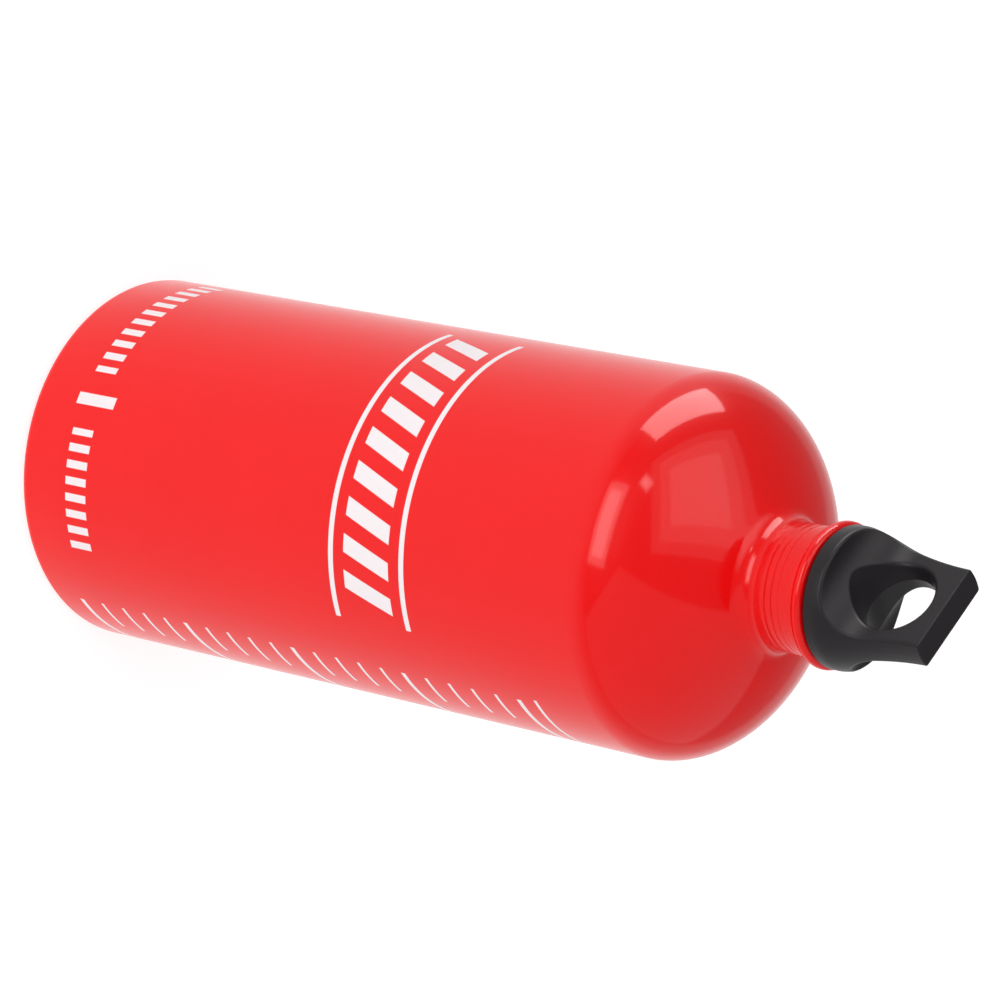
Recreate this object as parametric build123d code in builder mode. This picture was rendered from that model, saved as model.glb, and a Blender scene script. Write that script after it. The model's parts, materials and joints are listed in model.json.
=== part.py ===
from build123d import *
import os
from math import cos, radians, sin, sqrt

os.makedirs("parts", exist_ok=True)

# All lengths are in millimetres. The bottle stands on z = 0, round the Z axis.

# Shell: a thin round wall on a dished base
body_radius = 49.0
wall_height = 189.5
shell_wall = 0.95
base_wall = 1.6
base_corner_radius = 3.0
standing_ring_width = 4.0
base_dish_depth = 5.0

# Shoulder: one curve from the wall to a steep slope, then a hollow blend to the neck
shoulder_rise = 31.4
shoulder_slope_deg = 71.0
shoulder_start_pull = 3.0
shoulder_end_pull = 29.2
neck_blend_radius = 5.3

# Neck and its curled rim
neck_radius = 16.2
neck_rise = 15.1
rim_curl_radius = 1.6

# Thread shared by the neck and the plug
thread_pitch = 2.0
thread_depth = 0.85
thread_clearance = 0.15
ridge_root_width = 1.25
ridge_crest_width = 0.45
ridge_bury = 0.3
neck_ridge_foot = 0.9
neck_ridge_drop = 1.0
ridge_offset_share = 0.5
roll_mark_depth = 0.1
roll_mark_width = 1.5

# Cap: a round flange with a flat carrying loop above it
flange_lip = 1.55
flange_height = 4.3
flange_gap = 0.7
flange_edge_radius = 0.45
band_height = 2.3
loop_taper = 4.5
end_foot_pull = 3.5
end_top_pull = 14.0
loop_foot_thickness = 8.6
loop_top_thickness = 7.4
shelf_land = 1.6
loop_side_radius = 0.9
loop_top_radius = 0.35

# Finger hole through the loop, with the walls that it leaves beside, below and above it
finger_hole_height = 17.2
loop_side_wall = 3.9
loop_bottom_wall = 3.6
loop_top_wall = 5.2
finger_hole_flare = 3.6
finger_rim_radius = 1.3

# Hollow plug below the flange
plug_length = 13.0
plug_wall = 3.0
plug_lead_in = 0.8
plug_ridge_turns = 4.0
plug_cavity_rise = 2.5
plug_cavity_blend = 1.5

# Rubber ring on the plug's collar
seal_section_radius = 1.0
seal_clearance = 0.05

# A cut runs this far past what it cuts
overrun = 2.0

neck_start_height = wall_height + shoulder_rise
rim_height = neck_start_height + neck_rise
neck_bore_radius = neck_radius - shell_wall
ridge_tip_radius = neck_bore_radius - thread_depth
plug_core_radius = ridge_tip_radius - thread_clearance
plug_bore_radius = plug_core_radius - plug_wall
curl_centre_radius = neck_bore_radius + rim_curl_radius
curl_centre_height = rim_height - rim_curl_radius
flange_underside = rim_height + flange_gap
flange_top = flange_underside + flange_height
hole_centre = flange_top + loop_bottom_wall + finger_hole_height / 2
loop_top = hole_centre + finger_hole_height / 2 + loop_top_wall
plug_end = flange_underside - plug_length
cavity_top = flange_underside + plug_cavity_rise

# The seal's circle rests on the curl's circle, with the clearance between them
seal_radius = plug_core_radius + seal_clearance + seal_section_radius
seal_reach = rim_curl_radius + seal_clearance + seal_section_radius
seal_height = curl_centre_height + sqrt(seal_reach**2 - (curl_centre_radius - seal_radius) ** 2)
seal_groove_radius = seal_radius + seal_section_radius + seal_clearance
seal_groove_top = seal_height + seal_section_radius + seal_clearance

# The flange covers the seal's groove, and the loop's round ends lean in above its band.
# Its top stays flat for the land, then sweeps up to the loop's foot.
flange_radius = seal_groove_radius + flange_lip
shelf_sweep_radius = flange_radius - shelf_land - loop_foot_thickness / 2
band_top = flange_underside + band_height
end_top_radius = flange_radius - loop_taper
finger_hole_width = 2 * (end_top_radius - loop_side_wall)

# The plug's ridge lies a share of a pitch above a turn of the neck's ridge
neck_ridge_start = neck_start_height + neck_ridge_foot
neck_ridge_end = rim_height - 2 * rim_curl_radius - neck_ridge_drop
neck_ridge_turns = (neck_ridge_end - neck_ridge_start) / thread_pitch
plug_thread_bottom = plug_end + plug_lead_in + ridge_root_width / 2
turns_above_start = int((plug_thread_bottom - neck_ridge_start) / thread_pitch)
plug_ridge_start = neck_ridge_start + (turns_above_start + ridge_offset_share) * thread_pitch


def shell_section(inset, floor):
    """Half section of the bottle's outer form, moved in by inset and its floor up by floor."""
    slope = radians(shoulder_slope_deg)
    radius = body_radius - inset
    corner = base_corner_radius - inset
    blend = neck_blend_radius + inset
    blend_centre = Vector(neck_radius + neck_blend_radius, neck_start_height)
    shoulder_start = Vector(radius, wall_height)
    shoulder_end = blend_centre - Vector(cos(slope), sin(slope)) * blend
    ring_inner = body_radius - base_corner_radius - standing_ring_width
    with BuildSketch(Plane.XZ) as section:
        with BuildLine():
            dish = TangentArc((0, floor + base_dish_depth), (ring_inner, floor), tangent=(1, 0))
            Line(dish @ 1, (radius - corner, floor))
            RadiusArc((radius - corner, floor), (radius, floor + corner), -corner)
            Line((radius, floor + corner), shoulder_start)
            Bezier(
                shoulder_start,
                shoulder_start + Vector(0, shoulder_start_pull),
                shoulder_end + Vector(sin(slope), -cos(slope)) * shoulder_end_pull,
                shoulder_end,
            )
            RadiusArc(shoulder_end, (neck_radius - inset, neck_start_height), blend)
            Polyline(
                (neck_radius - inset, neck_start_height),
                (neck_radius - inset, curl_centre_height),
                (0, curl_centre_height),
                dish @ 0,
            )
        make_face()
    return section.sketch


def helical_sweep(radius, start_height, turns, section):
    """Carry a flat section, drawn outwards and upwards from the helix, round the Z axis."""
    with BuildPart() as winding:
        with BuildLine() as path:
            Helix(thread_pitch, thread_pitch * turns, radius, center=(0, 0, start_height))
        with BuildSketch(Plane(origin=path.line @ 0, x_dir=(1, 0, 0), z_dir=path.line % 0)):
            add(section)
        sweep(path=path.line, is_frenet=True)
    return winding.part


def ridge_section(depth):
    """Thread ridge, inwards where depth is negative; its flanks run on into the wall it stands on."""
    bury = ridge_bury if depth > 0 else -ridge_bury
    crest = ridge_crest_width / 2
    root = crest + (ridge_root_width / 2 - crest) * (depth + bury) / depth
    with BuildSketch() as section:
        with BuildLine():
            Polyline((-bury, -root), (depth, -crest), (depth, crest), (-bury, root), close=True)
        make_face()
    return section.sketch


# The roll mark is a hollow of its depth below the neck and as much again above it
with BuildSketch() as mark_section:
    with BuildLine():
        hollow = ThreePointArc(
            (roll_mark_depth, -roll_mark_width / 2),
            (-roll_mark_depth, 0),
            (roll_mark_depth, roll_mark_width / 2),
        )
        Line(hollow @ 1, hollow @ 0)
    make_face()

inward_ridge = ridge_section(-thread_depth)
outward_ridge = ridge_section(thread_depth)
neck_ridge = helical_sweep(neck_bore_radius, neck_ridge_start, neck_ridge_turns, inward_ridge)
plug_ridge = helical_sweep(plug_core_radius, plug_ridge_start, plug_ridge_turns, outward_ridge)
roll_mark = helical_sweep(neck_radius, neck_ridge_start, neck_ridge_turns, mark_section.sketch)


# Bottle shell: outer form and curled rim, less the inner form, plus the rolled thread
with BuildPart() as bottle_shell:
    add(shell_section(0, 0))
    revolve(axis=Axis.Z)
    with BuildSketch(Plane.XZ):
        with Locations((curl_centre_radius, curl_centre_height)):
            Circle(rim_curl_radius)
    revolve(axis=Axis.Z)
    add(shell_section(shell_wall, base_wall))
    revolve(axis=Axis.Z, mode=Mode.SUBTRACT)
    with BuildSketch(Plane.XY.offset(curl_centre_height)):
        Circle(neck_bore_radius)
    extrude(amount=rim_curl_radius + overrun, mode=Mode.SUBTRACT)
    add(neck_ridge)
    add(roll_mark, mode=Mode.SUBTRACT)
bottle_shell.part.label = "bottle_shell"
export_step(bottle_shell.part, "parts/bottle_shell.step")


# Seal: a plain ring between the curled rim and the flange
with BuildPart() as cap_seal:
    with BuildSketch(Plane.XZ):
        with Locations((seal_radius, seal_height)):
            Circle(seal_section_radius)
    revolve(axis=Axis.Z)
cap_seal.part.label = "cap_seal"
export_step(cap_seal.part, "parts/cap_seal.step")


# Cap: a turned blank cut to the loop's side outline, pierced, and given its plug
with BuildPart() as loop_cap:
    with BuildSketch(Plane.XZ):
        with BuildLine():
            Polyline((0, loop_top), (0, flange_underside), (flange_radius, flange_underside))
            Line((flange_radius, flange_underside), (flange_radius, band_top))
            Bezier(
                (flange_radius, band_top),
                (flange_radius, band_top + end_foot_pull),
                (end_top_radius, loop_top - end_top_pull),
                (end_top_radius, loop_top),
            )
            Line((end_top_radius, loop_top), (0, loop_top))
        make_face()
    revolve(axis=Axis.Z)
    # From the side the flange's top sweeps up into a thin wedge
    with BuildSketch(Plane.YZ):
        with BuildLine():
            right = FilletPolyline(
                (flange_radius, flange_top),
                (loop_foot_thickness / 2, flange_top),
                (loop_top_thickness / 2, loop_top),
                radius=shelf_sweep_radius,
            )
            left = mirror(right, about=Plane.YZ)
            Line(right @ 1, left @ 1)
            Polyline(
                right @ 0,
                (flange_radius, flange_underside),
                (-flange_radius, flange_underside),
                left @ 0,
            )
        make_face()
    extrude(amount=flange_radius, both=True, mode=Mode.INTERSECT)
    # One rounding runs down a side of the loop, round the flange and up the other side
    edges_above_band = loop_cap.edges().filter_by_position(Axis.Z, flange_top, loop_top, (True, False))
    edges_along_x = edges_above_band.filter_by(Axis.X)
    side_edges = edges_above_band.filter_by(lambda e: abs(e.center().Y) > loop_top_thickness / 4)
    fillet([edge for edge in side_edges if edge not in edges_along_x], loop_side_radius)
    fillet(loop_cap.faces().sort_by(Axis.Z)[-1].edges(), loop_top_radius)
    fillet(loop_cap.faces().sort_by(Axis.Z)[0].edges(), flange_edge_radius)
    # The finger hole widens evenly from its middle to each face, where it is rounded
    for side in (-1, 1):
        with BuildSketch(Plane.XZ):
            with Locations((0, hole_centre)):
                Ellipse(finger_hole_width / 2, finger_hole_height / 2)
        with BuildSketch(Plane.XZ.offset(side * flange_radius)):
            with Locations((0, hole_centre)):
                Ellipse(
                    finger_hole_width / 2 + finger_hole_flare,
                    finger_hole_height / 2 + finger_hole_flare,
                )
        loft(ruled=True, mode=Mode.SUBTRACT)
    hole_walls = loop_cap.faces().filter_by(GeomType.BSPLINE).sort_by(SortBy.AREA)[-2:]
    hole_rims = hole_walls.edges().filter_by(lambda e: abs(e.center().Y) > loop_top_thickness / 4)
    fillet(hole_rims, finger_rim_radius)
    # Plug core, from its lead-in to the underside of the flange
    with BuildSketch(Plane.XY.offset(flange_underside)):
        Circle(plug_core_radius)
    extrude(amount=-plug_length)
    chamfer(loop_cap.faces().sort_by(Axis.Z)[0].edges(), plug_lead_in)
    add(plug_ridge)
    # Groove for the seal, and the cored-out middle
    with BuildSketch(Plane.XY.offset(flange_underside)):
        Circle(seal_groove_radius)
        Circle(plug_core_radius, mode=Mode.SUBTRACT)
    extrude(amount=seal_groove_top - flange_underside, mode=Mode.SUBTRACT)
    with BuildSketch(Plane.XY.offset(plug_end)):
        Circle(plug_bore_radius)
    extrude(amount=cavity_top - plug_end, mode=Mode.SUBTRACT)
    circles = loop_cap.edges().filter_by(GeomType.CIRCLE)
    fillet(circles.filter_by_position(Axis.Z, cavity_top, cavity_top), plug_cavity_blend)
loop_cap.part.label = "loop_cap"
export_step(loop_cap.part, "parts/loop_cap.step")


for piece in (bottle_shell.part, cap_seal.part, loop_cap.part):
    print(piece.label, round(piece.volume), piece.is_valid, len(piece.solids()))
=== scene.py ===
# %% [markdown]
# # A camping fuel bottle
# The bottle is one thin aluminium shell, lacquered red outside and bare inside. A black moulded
# cap with a carrying loop screws into its neck, over a rubber ring. The solids come ready made,
# with their real sizes, as a fixed frame. This lesson dresses them: a smooth skin for the shell,
# detailed materials for everything, and the light and camera of a product photograph.
# The frame is loaded first, because every piece made later rides on one of its bodies.

# %% Load the frame
import json
from math import cos, pi, radians, sin

import bpy
import numpy as np
from mathutils import Matrix, Vector


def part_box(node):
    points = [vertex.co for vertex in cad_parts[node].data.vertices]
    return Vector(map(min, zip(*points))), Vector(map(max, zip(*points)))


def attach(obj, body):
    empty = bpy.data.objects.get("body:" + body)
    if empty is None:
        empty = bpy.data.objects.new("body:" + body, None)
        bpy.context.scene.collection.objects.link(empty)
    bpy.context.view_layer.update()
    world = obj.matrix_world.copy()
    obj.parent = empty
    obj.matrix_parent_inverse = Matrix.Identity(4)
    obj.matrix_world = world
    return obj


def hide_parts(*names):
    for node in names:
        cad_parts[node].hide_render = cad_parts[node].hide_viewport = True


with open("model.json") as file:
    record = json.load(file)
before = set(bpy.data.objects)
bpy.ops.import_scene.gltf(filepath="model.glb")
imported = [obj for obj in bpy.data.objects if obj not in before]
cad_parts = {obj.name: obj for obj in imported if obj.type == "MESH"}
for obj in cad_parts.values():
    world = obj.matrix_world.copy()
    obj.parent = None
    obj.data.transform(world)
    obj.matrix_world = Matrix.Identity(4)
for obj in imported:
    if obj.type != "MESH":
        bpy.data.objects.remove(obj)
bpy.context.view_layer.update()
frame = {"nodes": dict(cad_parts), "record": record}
MM = 0.001
for node in frame["nodes"]:
    low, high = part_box(node)
    print(node, "spans", [round((b - a) / MM, 1) for a, b in zip(low, high)], "mm")

# %% [markdown]
# ## The sizes that the looks share with the solids
# A skin has to lie where the solid lies, so its profile uses the same sizes. The body's radius
# is read from the record, where the bottle's wall is stated as a round mount. The others are
# written here in millimetres.

# %% Sizes
BODY_RADIUS = next(m for m in frame["record"]["mounts"] if m["name"] == "bottle_wall")["dims"]["r_mm"]
WALL_HEIGHT = 189.5
SHELL_WALL = 0.95
BASE_WALL = 1.6
BASE_CORNER = 3.0
STANDING_RING = 4.0
BASE_DISH = 5.0
SLOPE = radians(71.0)
START_PULL, END_PULL = 3.0, 29.2
NECK_RADIUS = 16.2
NECK_BLEND = 5.3
NECK_START = 220.9
RIM_HEIGHT = 236.0
RIM_CURL = 1.6
PITCH = 2.0
THREAD_DEPTH = 0.85
THREAD_START, THREAD_END = 221.8, 231.8
ROLL_DEPTH = 0.04
print("body radius from the record:", BODY_RADIUS, "mm")

# %% [markdown]
# ## A surface from a grid
# Every new piece is a grid of points: rows run along a profile and columns run round the axis.
# Neighbouring points are joined into four-sided faces, and the last column is joined to the first,
# so the surface closes round the axis. Where a row has no radius its points meet in one pole.

# %% Grid surfaces
def closed_grid(name, points, materials, row_materials=None):
    """Mesh of points[row, column], closed across the columns; a row of zero radius becomes one pole."""
    rows, columns, _ = points.shape
    flat = points.reshape(-1, 3) * MM
    index = np.arange(rows * columns).reshape(rows, columns)
    for row in range(rows):
        if np.ptp(points[row, :, :2]) < 1e-9:
            index[row] = index[row, 0]
    here, there = index[:-1], index[1:]
    faces = np.stack([here, np.roll(here, -1, 1), np.roll(there, -1, 1), there], -1).reshape(-1, 4)
    face_row = np.repeat(np.arange(rows - 1), columns)
    corners = [list(dict.fromkeys(face)) for face in faces.tolist()]
    used, corner_index = np.unique(np.concatenate(corners), return_inverse=True)
    first_corner = np.cumsum([0] + [len(c) for c in corners[:-1]])
    mesh = bpy.data.meshes.new(name)
    mesh.vertices.add(len(used))
    mesh.vertices.foreach_set("co", flat[used].ravel().astype(np.float32))
    mesh.loops.add(len(corner_index))
    mesh.loops.foreach_set("vertex_index", corner_index.astype(np.int32))
    mesh.polygons.add(len(corners))
    mesh.polygons.foreach_set("loop_start", first_corner.astype(np.int32))
    mesh.polygons.foreach_set("use_smooth", np.ones(len(corners), bool))
    if row_materials is not None:
        mesh.polygons.foreach_set("material_index", row_materials[face_row].astype(np.int32))
    mesh.update(calc_edges=True)
    mesh.validate()
    for material in materials:
        mesh.materials.append(material)
    piece = bpy.data.objects.new(name, mesh)
    bpy.context.scene.collection.objects.link(piece)
    print(name, "has", len(mesh.polygons), "faces and spans",
          [round(float(s) / MM, 1) for s in np.ptp(flat[used], axis=0)], "mm")
    return piece


# %% [markdown]
# ## The bottle's profile
# The real shell is drawn from one slug of metal, so its section is one unbroken line: up the
# dished base, round the standing ring, up the wall, over the shoulder, up the neck, round the
# curled rim and down again inside. The line is written as arcs, one cubic curve and straight
# runs, each a small array of radius and height. The same sizes moved in by the wall's thickness
# give the inside.

# %% Profile of the shell
def arc(centre, radius, start, end, count):
    """Points centre + radius (cos a, sin a), for a evenly from start to end degrees."""
    a = np.radians(np.linspace(start, end, count))
    return np.stack([centre[0] + radius * np.cos(a), centre[1] + radius * np.sin(a)], -1)


def run(start, end, count):
    """Points evenly along a straight run; the end is left to the next stretch."""
    return np.linspace(start, end, count, endpoint=False)


def bezier(p0, p1, p2, p3, count):
    """Cubic curve: the four points weighted by the terms of ((1 - t) + t) cubed."""
    t = np.linspace(0, 1, count)[:, None]
    p0, p1, p2, p3 = (np.array(p, float) for p in (p0, p1, p2, p3))
    return (1 - t) ** 3 * p0 + 3 * (1 - t) ** 2 * t * p1 + 3 * (1 - t) * t**2 * p2 + t**3 * p3


def shell_line(inset, floor, dense):
    """Half section from the axis to the neck's foot, moved in by inset, the floor up by floor."""
    radius, corner, blend = BODY_RADIUS - inset, BASE_CORNER - inset, NECK_BLEND + inset
    ring_inner = BODY_RADIUS - BASE_CORNER - STANDING_RING
    dish_radius = (ring_inner**2 + BASE_DISH**2) / (2 * BASE_DISH)
    spread = np.degrees(np.arcsin(ring_inner / dish_radius))
    dish = arc((0, floor + BASE_DISH - dish_radius), dish_radius, 90, 90 - spread, 14 * dense)
    corner_arc = arc((radius - corner, floor + corner), corner, -90, 0, 5 * dense)
    blend_centre = np.array([NECK_RADIUS + NECK_BLEND, NECK_START])
    start = np.array([radius, WALL_HEIGHT])
    end = blend_centre - np.array([cos(SLOPE), sin(SLOPE)]) * blend
    down_slope = np.array([sin(SLOPE), -cos(SLOPE)])
    shoulder = bezier(start, start + (0, START_PULL), end + down_slope * END_PULL, end, 34 * dense)
    turn = arc(blend_centre, blend, 180 + np.degrees(SLOPE), 180, 8 * dense)
    wall = run((radius, floor + corner), (radius, WALL_HEIGHT), 10)[1:]
    return np.concatenate([dish, corner_arc, wall, shoulder, turn[1:]])


outside = shell_line(0.0, 0.0, 2)
inside = shell_line(SHELL_WALL, BASE_WALL, 1)
bore_radius = NECK_RADIUS - SHELL_WALL
curl_centre = (bore_radius + RIM_CURL, RIM_HEIGHT - RIM_CURL)
curl_start = -180 + np.degrees(np.arccos((curl_centre[0] - NECK_RADIUS) / RIM_CURL))
CURL_ROWS, PAINTED_CURL_ROWS, NECK_ROWS = 40, 32, 84
curl = arc(curl_centre, RIM_CURL, curl_start, 180, CURL_ROWS)
neck_outside = run((NECK_RADIUS, NECK_START), curl[0], NECK_ROWS)[1:]
neck_inside = run(curl[-1], inside[-1], NECK_ROWS)[1:]
shell_profile = np.concatenate([outside, neck_outside, curl, neck_inside, inside[::-1]])
painted_rows = len(outside) + len(neck_outside) + PAINTED_CURL_ROWS
print("the section has", len(shell_profile), "points;", painted_rows, "of them are painted")

# %% [markdown]
# ## Rolled thread
# The neck's thread is rolled into the thin metal. Inside stands a ridge on a helix, and outside the
# same rolling leaves a faint hollow. On the grid both are a change of radius that depends on one
# number only: how far a point lies above the nearest turn of the helix.

# %% Skin of the shell
COLUMNS = 240
RIDGE_ROOT, RIDGE_CREST, ROLL_WIDTH, RUN_OUT = 1.25, 0.45, 1.5, 0.8
theta = np.linspace(0, 2 * pi, COLUMNS, endpoint=False)[None, :]
height = shell_profile[:, 1:] + 0 * theta
radius = shell_profile[:, :1] + 0 * theta


def above_turn(height, theta):
    """Height above the nearest turn of start + pitch * theta / 2 pi, and that turn's own height."""
    turns = (height - THREAD_START) / PITCH - theta / (2 * pi)
    turn_height = THREAD_START + PITCH * (np.round(turns) + theta / (2 * pi))
    return height - turn_height, turn_height


def smooth_step(x):
    """3 x^2 - 2 x^3, with x held between 0 and 1."""
    x = np.clip(x, 0, 1)
    return x * x * (3 - 2 * x)


offset, turn_height = above_turn(height, theta)
run_in = smooth_step((turn_height - THREAD_START) / RUN_OUT + 0.5)
run_out = smooth_step((THREAD_END - turn_height) / RUN_OUT + 0.5)
fade = run_in * run_out
ridge = THREAD_DEPTH * np.clip((RIDGE_ROOT - 2 * abs(offset)) / (RIDGE_ROOT - RIDGE_CREST), 0, 1)
hollow = ROLL_DEPTH * (0.5 + 0.5 * np.cos(np.clip(2 * pi * offset / ROLL_WIDTH, -pi, pi)))
row = np.arange(len(shell_profile))[:, None]
on_outside = (row > len(outside)) & (row < len(outside) + len(neck_outside))
below_curl = len(outside) + len(neck_outside) + CURL_ROWS - 1
on_inside = (row > below_curl) & (row < len(shell_profile) - len(inside))
radius = radius - on_inside * fade * ridge - on_outside * fade * hollow
shell_points = np.stack([radius * np.cos(theta), radius * np.sin(theta), height], -1)
print("deepest roll mark", round(float((on_outside * fade * hollow).max()), 2), "mm; tallest ridge",
      round(float((on_inside * fade * ridge).max()), 2), "mm")

# %% [markdown]
# ## Shader maths as Python
# A material is a graph of small nodes. Written one node at a time it is hard to read, so a socket
# is wrapped in a class whose plus, minus, times and divide add the Math node that does the same.
# One more method adds a node of any other kind.

# %% Shader helper
class Field:
    """A number that varies over the surface; arithmetic on it adds Math nodes."""

    def __init__(self, finish, socket):
        self.finish, self.socket = finish, socket

    def math(self, operation, *others):
        return self.finish.node("Math", {"operation": operation}, dict(enumerate((self, *others))))

    def __add__(self, other): return self.math("ADD", other)
    def __sub__(self, other): return self.math("SUBTRACT", other)
    def __mul__(self, other): return self.math("MULTIPLY", other)
    def __truediv__(self, other): return self.math("DIVIDE", other)
    def __pow__(self, other): return self.math("POWER", other)
    def __mod__(self, other): return self.math("FLOORED_MODULO", other)
    def __abs__(self): return self.math("ABSOLUTE")
    __radd__, __rmul__ = __add__, __mul__

    def __rsub__(self, other):
        return self.finish.node("Math", {"operation": "SUBTRACT"}, {0: other, 1: self})

    def clamp(self): return self.finish.node("Clamp", {}, {"Value": self})
    def most(self, other): return self.math("MAXIMUM", other)

    def between(self, low, high, edge):
        """1 from low to high, falling to 0 over the width edge on both sides."""
        return ((self - low) / edge + 0.5).clamp() * ((high - self) / edge + 0.5).clamp()


class Finish:
    """A material under construction, with its Principled shader filled in at the end."""

    def __init__(self, name):
        self.material = bpy.data.materials.new(name)
        self.material.use_nodes = True
        self.tree = self.material.node_tree
        self.tree.nodes.clear()
        self.place = self.node("TexCoord", {}, {}, "Object")

    def node(self, kind, settings, sockets, output=0):
        """Adds a node, applies its settings, sets or links its sockets and returns one output."""
        made = self.tree.nodes.new("ShaderNode" + kind)
        for key, value in settings.items():
            setattr(made, key, value)
        for key, value in sockets.items():
            if isinstance(value, Field):
                self.tree.links.new(value.socket, made.inputs[key])
            else:
                made.inputs[key].default_value = value
        return None if output is None else Field(self, made.outputs[output])

    def noise(self, scale, detail=3.0, roughness=0.5, stretch=(1, 1, 1), output="Fac"):
        """Soft random field with about scale bumps to the metre, stretched by a Mapping node."""
        place = self.node("Mapping", {}, {"Vector": self.place, "Scale": stretch})
        return self.node("TexNoise", {}, {"Vector": place, "Scale": scale, "Detail": detail,
                                          "Roughness": roughness}, output)

    def blend(self, share, first, second):
        """Mixes two colours by a share from 0 to 1."""
        return self.node("Mix", {"data_type": "RGBA"}, {0: share, 6: first, 7: second}, 2)

    def bump(self, height, distance, under=None):
        """Normal from a height field, in metres; under is a bump below it."""
        sockets = {"Height": height, "Distance": distance, "Strength": 1.0}
        if under is not None:
            sockets["Normal"] = under
        return self.node("Bump", {}, sockets)

    def surface(self, **values):
        """Ends the material: values go to the Principled sockets of those names."""
        values = {name.replace("_", " "): value for name, value in values.items()}
        shader = self.node("BsdfPrincipled", {}, values)
        self.node("OutputMaterial", {}, {"Surface": shader}, None)
        print(self.material.name, "uses", len(self.tree.nodes), "nodes")
        return self.material

# %% [markdown]
# ## Red enamel with a white print
# The outside is a glossy stoved enamel: one even red, a clear skin that is very slightly uneven,
# and rubbed spots where the bottle stands. The print is a thin layer of white ink over it, plain
# geometry on this bottle: a row of short bars near the base, a band of slanted bars in the middle
# and a ruled scale at one side. Each mark is a mask made from two numbers, the angle round the
# axis and the height above the base, so the print follows the wall like the real one.

# %% Red enamel
enamel = Finish("red_enamel")
axes = [enamel.node("SeparateXYZ", {}, {"Vector": enamel.place}, axis) for axis in range(3)]
angle = axes[1].math("ARCTAN2", axes[0]) * (180 / pi)
up = axes[2] / MM
EDGE, TURN_EDGE = 0.18, 0.22
SCALE_FOOT, SCALE_STEP = 12.0, 7.65


def patch(around, rise):
    """1 in a rectangle on the wall: degrees round the axis, and millimetres above the base."""
    return angle.between(*around, TURN_EDGE) * up.between(*rise, EDGE)


def stripes(value, start, step, half_width, edge):
    """1 on evenly spaced stripes of a half width, one of them with its middle at start."""
    away = abs((value - start + step / 2) % step - step / 2)
    return ((half_width - away) / edge).clamp()


# Near the base: short upright bars on both sides of one tall bar
base_turn = angle.between(-131, -76, TURN_EDGE).most(angle.between(-57, -18, TURN_EDGE))
short_bars = stripes(angle, -66.5, 5.2, 1.35, TURN_EDGE) * up.between(17.5, 25.0, EDGE)
base_row = (short_bars * base_turn).most(patch((-68.4, -64.6), (15.8, 29.4)))

# In the middle: slanted bars between two thin lines
slant = angle - (up - 124) * 0.42
slanted_bars = stripes(slant, -69.0, 11.0, 2.9, TURN_EDGE) * slant.between(-119, -18, TURN_EDGE)
middle = slanted_bars * up.between(116.5, 131.5, EDGE)
for line_rise in ((135.0, 136.6), (111.4, 113.0)):
    middle = middle.most(patch((-122, -15), line_rise))

# At one side: a ruled scale with every fifth line longer, and one line above it
short_lines = stripes(up, SCALE_FOOT, SCALE_STEP, 0.55, EDGE) * angle.between(4.0, 17.0, TURN_EDGE)
long_lines = stripes(up, SCALE_FOOT, 5 * SCALE_STEP, 0.8, EDGE) * angle.between(4.0, 34.0, TURN_EDGE)
scale = short_lines.most(long_lines) * up.between(10.5, 167.0, EDGE)
scale = scale.most(patch((2.5, 30.0), (170.4, 171.4)))

printed = base_row.most(middle).most(scale)
ink_grain = enamel.noise(2400, 2)
printed = (printed * (0.93 + ink_grain * 0.12)).clamp()

cloud = enamel.noise(26, 3)
red = enamel.blend(cloud, (0.84, 0.0030, 0.0034, 1), (0.90, 0.0050, 0.0056, 1))
ring_wear = up.between(-1.0, 0.35, 0.5) * ((enamel.noise(900, 4) - 0.46) * 9).clamp()
INK, WORN_METAL = (0.90, 0.84, 0.86, 1), (0.55, 0.54, 0.53, 1)
colour = enamel.blend(ring_wear, enamel.blend(printed, red, INK), WORN_METAL)
orange_peel = enamel.bump(enamel.noise(420, 2), 0.000016)
relief = enamel.bump(printed, 0.000012, orange_peel)
red_enamel = enamel.surface(
    Base_Color=colour,
    Roughness=(0.30 + cloud * 0.06 + printed * 0.16 + ring_wear * 0.1).clamp(),
    Metallic=ring_wear,
    Coat_Weight=(0.52 - printed * 0.3 - ring_wear * 0.5).clamp(),
    Coat_Roughness=0.08,
    Coat_IOR=1.44,
    Specular_IOR_Level=0.05,
    Normal=relief,
)

# %% [markdown]
# ## Bare metal inside
# The inside is left as drawn: pale aluminium with fine rings from the tool. Rings round the axis
# are a noise that is stretched flat, so that it changes with height and hardly across.

# %% Bare aluminium
metal = Finish("bare_aluminium")
draw_rings = metal.noise(90, 3, 0.6, (1, 1, 26))
dull = metal.noise(45, 4)
bare_aluminium = metal.surface(
    Base_Color=metal.blend(dull, (0.62, 0.62, 0.63, 1), (0.78, 0.78, 0.79, 1)),
    Roughness=(0.26 + dull * 0.18 + draw_rings * 0.1).clamp(),
    Metallic=1.0,
    Normal=metal.bump(draw_rings, 0.00003),
)
row_material = np.where(np.arange(len(shell_profile) - 1) < painted_rows, 0, 1)
bottle_skin = closed_grid("bottle_skin", shell_points, [red_enamel, bare_aluminium], row_material)
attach(bottle_skin, "bottle")
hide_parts("bottle_shell")

# %% [markdown]
# ## Moulded black plastic
# The cap is one moulding with a fine spark grain, a little lighter where fingers rub it. The grain
# is too fine to see as bumps, so it is mostly roughness, with a low bump for the close view.

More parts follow.
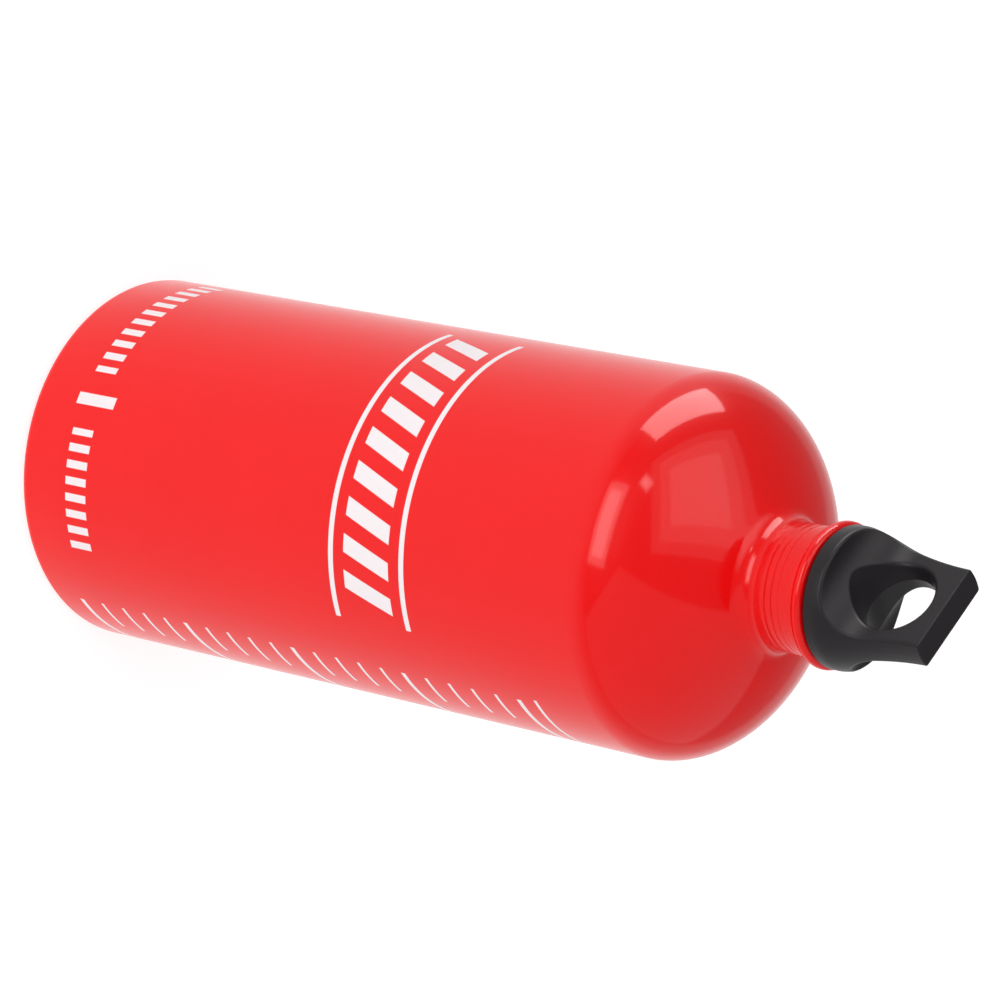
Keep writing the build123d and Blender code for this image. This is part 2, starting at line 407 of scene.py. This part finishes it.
# %% Black plastic
plastic = Finish("black_plastic")
grain = plastic.noise(2600, 3, 0.6)
handled = plastic.noise(70, 3)
black_plastic = plastic.surface(
    Base_Color=plastic.blend(handled, (0.0105, 0.0085, 0.0105, 1), (0.0165, 0.0135, 0.0160, 1)),
    Roughness=(0.30 + grain * 0.12 + handled * 0.06).clamp(),
    Normal=plastic.bump(grain, 0.000012),
    Specular_IOR_Level=0.2,
)
cap = frame["nodes"]["loop_cap"]
cap.data.materials.clear()
cap.data.materials.append(black_plastic)

# %% [markdown]
# ## Rubber ring
# The ring is soft nitrile rubber: nearly black, matt, with a faint bloom of dust.

# %% Rubber
rubber = Finish("nitrile_rubber")
bloom = rubber.noise(300, 3)
nitrile = rubber.surface(
    Base_Color=rubber.blend(bloom, (0.010, 0.010, 0.010, 1), (0.030, 0.029, 0.028, 1)),
    Roughness=(0.62 + bloom * 0.2).clamp(),
    Normal=rubber.bump(rubber.noise(3000, 2), 0.000015),
)
ring = frame["nodes"]["cap_seal"]
ring.data.materials.clear()
ring.data.materials.append(nitrile)

# %% [markdown]
# ## Floor, light and camera
# The photograph is a cut-out on white, so the floor is a white light table: it glows by itself,
# most of all round the bottle, where the extra glow is painted light that washes out the bottle's
# shadow and red bounce on the floor. Large soft lamps do what studio soft boxes do, and two or three of
# them, one inside the other, make a panel whose edge fades. Some lamps only light the bottle, and
# some are only seen mirrored in its lacquer, so that the glints can be placed without changing the
# shading. The camera is the one whose perspective fits the photograph's outline: a long lens,
# looking down and turned so that the standing bottle lies across the picture.

# %% Floor
white = Finish("white_floor")
tone = white.noise(3, 2)
across = [white.node("SeparateXYZ", {}, {"Vector": white.place}, axis) for axis in range(2)]
from_bottle = (across[0] ** 2 + across[1] ** 2) ** 0.5
# Painted light: the floor glows brighter near the bottle, which washes out the bottle's shadow and red
# bounce on the floor.
GLOW_REACH, GLOW_FADE = 0.95, 0.45
shadow_washing_glow = ((GLOW_REACH - from_bottle) / GLOW_FADE).clamp()
white_floor = white.surface(
    Base_Color=white.blend(tone, (0.46, 0.46, 0.46, 1), (0.48, 0.48, 0.48, 1)),
    Roughness=0.9,
    Specular_IOR_Level=0.1,
    Emission_Color=white.blend(shadow_washing_glow, (0.5, 0.5, 0.5, 1), (1, 1, 1, 1)),
    Emission_Strength=0.75,
)
HALF_FLOOR, FLOOR_LINES = 6, 25
side = np.linspace(-HALF_FLOOR, HALF_FLOOR, FLOOR_LINES)
grid_x, grid_y = np.meshgrid(side, side, indexing="ij")
floor_mesh = bpy.data.meshes.new("floor")
index = np.arange(side.size**2).reshape(side.size, side.size)
squares = np.stack([index[:-1, :-1], index[1:, :-1], index[1:, 1:], index[:-1, 1:]], -1)
floor_points = np.stack([grid_x, grid_y, 0 * grid_x], -1)
floor_mesh.from_pydata(floor_points.reshape(-1, 3), [], squares.reshape(-1, 4))
floor_mesh.materials.append(white_floor)
floor = bpy.data.objects.new("floor", floor_mesh)
bpy.context.scene.collection.objects.link(floor)
print("the floor is", 2 * HALF_FLOOR, "m wide and glows within", GLOW_REACH, "m of the bottle")

# %% Light
BOTTLE_MIDDLE = Vector((0, 0, 0.15))
world = bpy.data.worlds.new("studio")
world.use_nodes = True
background = world.node_tree.nodes["Background"].inputs
background["Color"].default_value = (1, 1, 1, 1)
background["Strength"].default_value = 0.28
bpy.context.scene.world = world
bpy.context.scene.view_settings.view_transform = "Standard"


def softbox(name, turn, rise, distance, size, brightness, lights=True, mirrored=True):
    """A lamp at turn and rise in degrees round the bottle; it lights, is mirrored, or both."""
    turn, rise = radians(turn), radians(rise)
    towards = Vector((cos(turn) * cos(rise), sin(turn) * cos(rise), sin(rise)))
    lamp = bpy.data.lights.new(name, "AREA")
    lamp.shape, lamp.size, lamp.size_y = "RECTANGLE", *size
    lamp.energy = pi * size[0] * size[1] * brightness
    holder = bpy.data.objects.new(name, lamp)
    aim = towards.to_track_quat("Z", "Y").to_matrix().to_4x4()
    holder.matrix_world = Matrix.Translation(BOTTLE_MIDDLE + towards * distance) @ aim
    holder.visible_camera = False
    holder.visible_diffuse, holder.visible_glossy = lights, mirrored
    bpy.context.scene.collection.objects.link(holder)
    print(name, "shines with", round(lamp.energy, 1), "W")
    return holder


softbox("side_panel", 35, 38, 1.4, (4.0, 2.2), 0.56)
softbox("overhead_outer", -140, 60, 1.30, (1.4, 1.3), 0.8)
softbox("overhead_middle", -140, 60, 1.28, (1.05, 1.0), 0.8, lights=False)
softbox("overhead_inner", -140, 60, 1.26, (0.7, 0.65), 1.1, lights=False)
softbox("front_fill", -70, 20, 1.35, (0.9, 0.9), 2.7, mirrored=False)
softbox("left_window", -144, 6, 1.3, (1.1, 0.66), 8.5, lights=False)
softbox("front_window_outer", -66, 14, 1.32, (1.1, 0.6), 3.0, lights=False)
softbox("front_window_inner", -66, 14, 1.30, (0.85, 0.36), 3.6, lights=False)
softbox("small_window_outer", -99, 37, 1.32, (0.16, 0.26), 3.2, lights=False)
softbox("small_window_inner", -99, 37, 1.30, (0.1, 0.16), 4, lights=False)

# %% Camera
AIM, DISTANCE = Vector((-0.005651, -0.003984, 0.124484)), 1.22017
AZIMUTH, ELEVATION, ROLL = radians(37.8), radians(39.0775), radians(-101.127)
back = Vector((sin(AZIMUTH) * cos(ELEVATION), -cos(AZIMUTH) * cos(ELEVATION), sin(ELEVATION)))
lens = bpy.data.cameras.new("photo_camera")
lens.sensor_width, lens.lens = 36.0, 170.63
camera = bpy.data.objects.new("photo_camera", lens)
turned = back.to_track_quat("Z", "Y").to_matrix().to_4x4() @ Matrix.Rotation(-ROLL, 4, "Z")
camera.matrix_world = Matrix.Translation(AIM + back * DISTANCE) @ turned
bpy.context.scene.collection.objects.link(camera)
bpy.context.scene.camera = camera
print("camera stands at", [round(x, 3) for x in camera.location])
